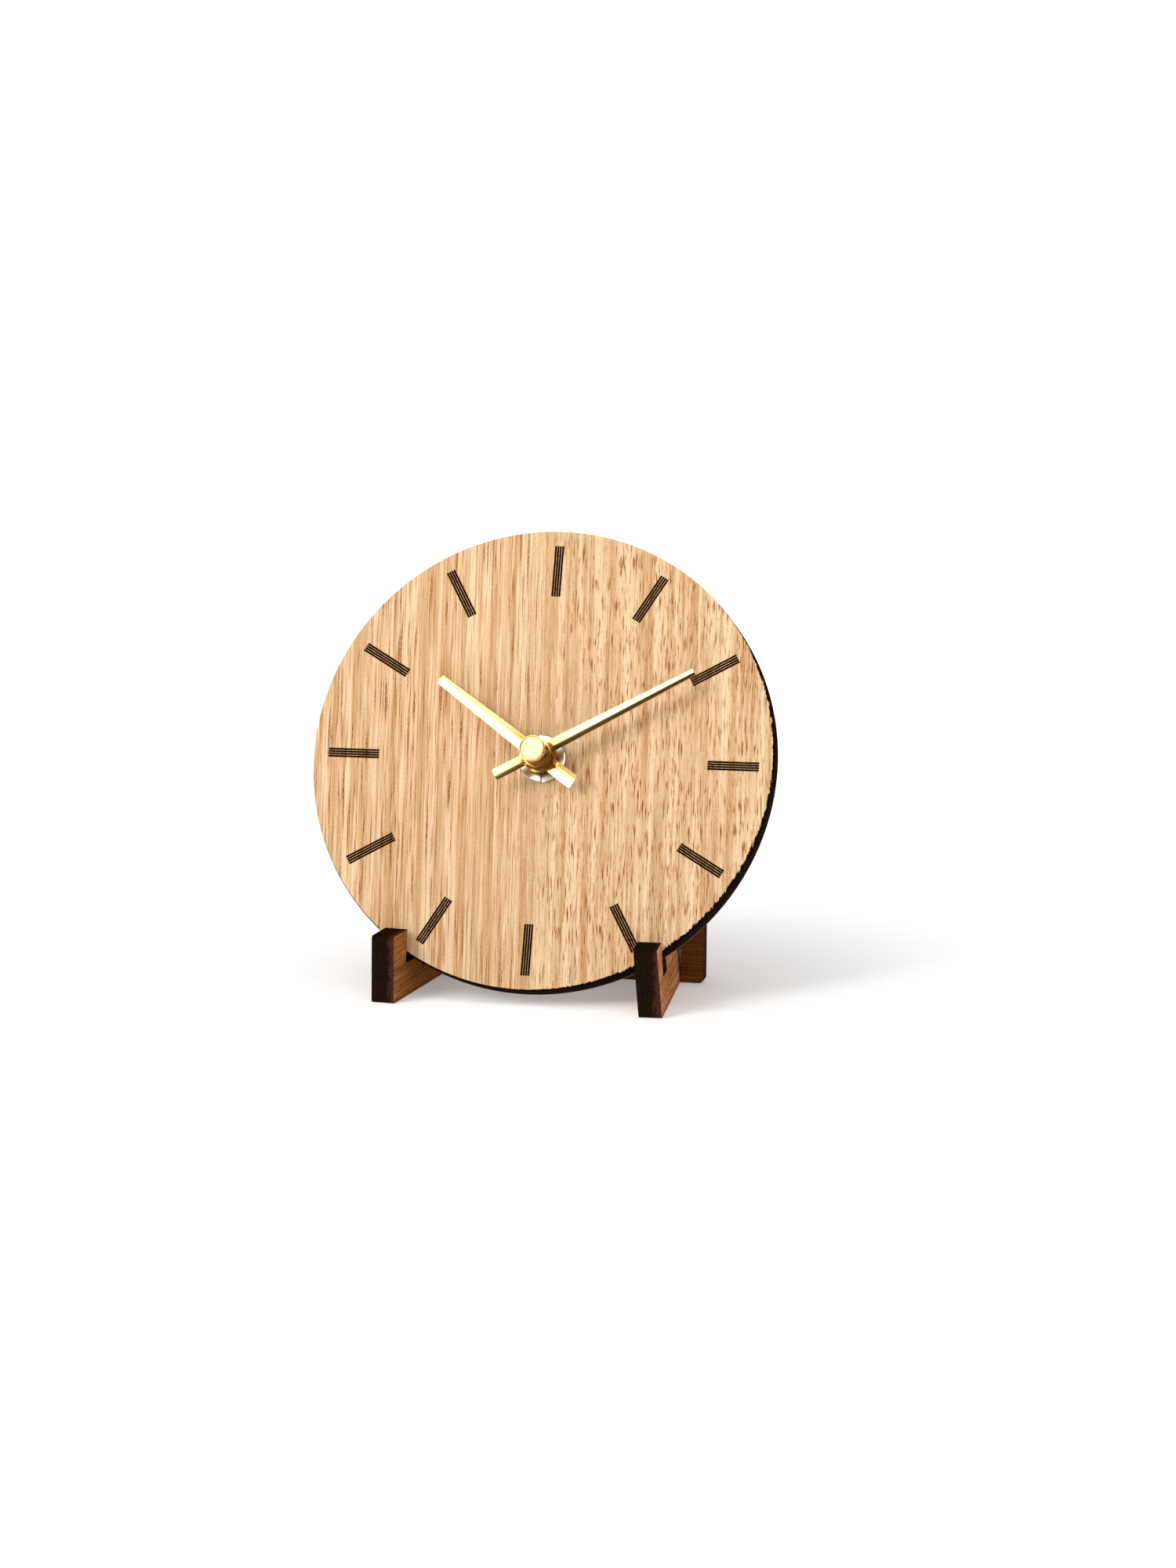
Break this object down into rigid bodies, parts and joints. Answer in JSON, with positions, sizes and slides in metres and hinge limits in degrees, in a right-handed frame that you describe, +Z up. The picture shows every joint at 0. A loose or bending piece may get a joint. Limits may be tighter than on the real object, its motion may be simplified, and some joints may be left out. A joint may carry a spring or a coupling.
{
  "type": "desk clock",
  "caption": "Round wooden desk clock: an oak-faced dial leaning back in a slotted wooden stand, with folded brass hands turned by a battery quartz movement behind it.",
  "frame": {"origin": "middle of the bounding box, on the surface that the feet stand on", "axes": "+X to the viewer's right across the dial, the dial faces -Y and leans back to +Y, +Z up"},
  "size_m": [0.14, 0.0689, 0.1333],
  "materials": {
    "foot_wood": "oiled wood faces with charred laser-cut edges",
    "bar_wood": "oiled wood faces with charred laser-cut edges",
    "oak_face": "matt oiled oak veneer with burnt hour marks",
    "charred_board": "board core with a charred laser-cut rim",
    "oak_back": "matt oak veneer",
    "nickel": "nickel plate, turned face",
    "brass": "plain turned brass",
    "hand_brass": "satin brass sheet",
    "cap_brass": "satin turned brass",
    "rubber": "soft black rubber",
    "case_plastic": "fine moulded texture",
    "cover_plastic": "fine moulded texture",
    "knob_plastic": "moulded, slightly worn ridges",
    "battery_jacket": "plain jacket with a bare end",
    "spring_steel": "nickel-plated strip",
    "board": "resist-coated board",
    "chip_resin": "cast black resin",
    "soft_iron": "stamped sheet",
    "copper_wire": "enamelled copper wire",
    "gear_plastic": "natural moulded plastic",
    "magnet": "sintered magnet"
  },
  "bodies": {
    "stand": {"foot_left": "foot_wood", "foot_right": "foot_wood", "cross_bar": "bar_wood"},
    "clock_head": {"face_veneer": "oak_face", "dial_core": "charred_board", "back_veneer": "oak_back", "dial_nut": "nickel", "threaded_bush": "brass", "rubber_washer": "rubber", "movement_case": "case_plastic", "back_cover": "cover_plastic", "positive_contact": "spring_steel", "negative_contact": "spring_steel", "circuit_board": "board", "chip": "chip_resin", "crystal": "spring_steel", "stator": "soft_iron", "coil_bobbin": "gear_plastic", "coil_winding": "copper_wire"},
    "battery": {"battery": "battery_jacket"},
    "minute": {"minute_hand": "hand_brass", "hand_cap": "cap_brass", "minute_arbor": "brass", "clutch_spring": "spring_steel"},
    "hour": {"hour_hand": "hand_brass", "hour_wheel": "gear_plastic"},
    "motion": {"motion_wheel": "gear_plastic"},
    "setting": {"setting_knob": "knob_plastic"},
    "centre": {"centre_wheel": "gear_plastic"},
    "third": {"third_wheel": "gear_plastic"},
    "second": {"second_wheel": "gear_plastic"},
    "intermediate": {"intermediate_wheel": "gear_plastic"},
    "rotor": {"rotor_arbor": "gear_plastic", "rotor_magnet": "magnet"}
  },
  "joints": [
    {"name": "dial_lift", "type": "slide", "parent": "stand", "child": "clock_head", "axis": [0, 0.3907, 0.9205], "range_m": [0, 0.025]},
    {"name": "battery_pull", "type": "slide", "parent": "clock_head", "child": "battery", "axis": [0, 0.9205, -0.3907], "range_m": [0, 0.02]},
    {"name": "minute_turn", "type": "hinge", "parent": "clock_head", "child": "minute", "pos_m": [0, 0.00113, 0.06884], "axis": [0, 0.9205, -0.3907], "continuous": true},
    {"name": "hour_turn", "type": "hinge", "parent": "clock_head", "child": "hour", "pos_m": [0, 0.00113, 0.06884], "axis": [0, 0.9205, -0.3907], "continuous": true},
    {"name": "motion_turn", "type": "hinge", "parent": "clock_head", "child": "motion", "pos_m": [-0.00838, 0.00296, 0.07315], "axis": [0, 0.9205, -0.3907], "continuous": true},
    {"name": "setting_turn", "type": "hinge", "parent": "clock_head", "child": "setting", "pos_m": [-0.01848, 0.00146, 0.06962], "axis": [0, 0.9205, -0.3907], "continuous": true},
    {"name": "intermediate_turn", "type": "hinge", "parent": "clock_head", "child": "intermediate", "pos_m": [0.01382, 0.00852, 0.08624], "axis": [0, 0.9205, -0.3907], "continuous": true},
    {"name": "rotor_turn", "type": "hinge", "parent": "clock_head", "child": "rotor", "pos_m": [0.00632, 0.00848, 0.08614], "axis": [0, 0.9205, -0.3907], "continuous": true},
    {"name": "second_turn", "type": "hinge", "parent": "clock_head", "child": "second", "pos_m": [0.01546, 0.00516, 0.07833], "axis": [0, 0.9205, -0.3907], "continuous": true},
    {"name": "third_turn", "type": "hinge", "parent": "clock_head", "child": "third", "pos_m": [0.00711, 0.00454, 0.07686], "axis": [0, 0.9205, -0.3907], "continuous": true},
    {"name": "centre_turn", "type": "hinge", "parent": "clock_head", "child": "centre", "pos_m": [0, 0.00113, 0.06884], "axis": [0, 0.9205, -0.3907], "continuous": true}
  ],
  "couplings": [
    {"joint": "motion_turn", "follows": "minute_turn", "ratio": -0.33333},
    {"joint": "hour_turn", "follows": "minute_turn", "ratio": 0.083333},
    {"joint": "setting_turn", "follows": "minute_turn", "ratio": 0.66667},
    {"joint": "rotor_turn", "follows": "intermediate_turn", "ratio": -5},
    {"joint": "second_turn", "follows": "intermediate_turn", "ratio": -0.16667},
    {"joint": "third_turn", "follows": "intermediate_turn", "ratio": 0.022222},
    {"joint": "centre_turn", "follows": "intermediate_turn", "ratio": -0.0027778}
  ]
}
